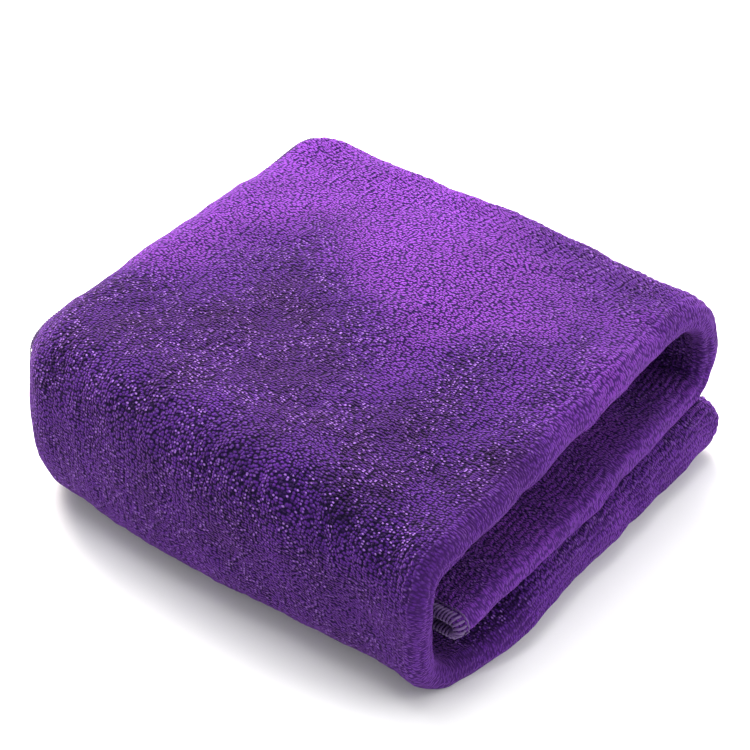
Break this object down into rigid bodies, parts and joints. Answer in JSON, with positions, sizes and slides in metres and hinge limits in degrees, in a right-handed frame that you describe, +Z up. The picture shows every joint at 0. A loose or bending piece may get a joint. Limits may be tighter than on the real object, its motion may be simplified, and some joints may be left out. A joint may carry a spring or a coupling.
{
  "type": "folded quick dry towel",
  "caption": "Small microfibre terry travel towel doubled lengthwise and wrapped into a soft block, with an open mouth between its folds; the wrap opens flat.",
  "frame": {"origin": "middle of the folded block's underside, on the surface it lies on", "axes": "+X along the folded strip towards the open right fold, -Y towards the rounded front lips, +Z up"},
  "size_m": [0.155, 0.175, 0.058],
  "materials": {
    "terry": "purple microfibre terry, short velvety pile in fine ribs, with sheen where the pile is seen edge on",
    "overlock_thread": "pale purple polyester thread"
  },
  "bodies": {
    "lower": {"bottom_layer": "terry", "stack_right_fold": "terry", "stack_upper_layer": "terry", "stack_left_fold": "terry", "stack_inner_layer": "terry", "left_fold_lower": "terry", "inner_end_thread": "overlock_thread", "lower_edge_thread": "overlock_thread"},
    "upper": {"left_fold_upper": "terry", "top_layer": "terry", "right_fold_upper": "terry", "right_fold_lower": "terry", "tail_layer": "terry", "tail_end_thread": "overlock_thread", "upper_edge_thread": "overlock_thread"}
  },
  "joints": [
    {"name": "open_wrap", "type": "hinge", "parent": "lower", "child": "upper", "pos_m": [-0.0778, 0, 0.029], "axis": [0, -1, 0], "range_deg": [0, 180]}
  ]
}
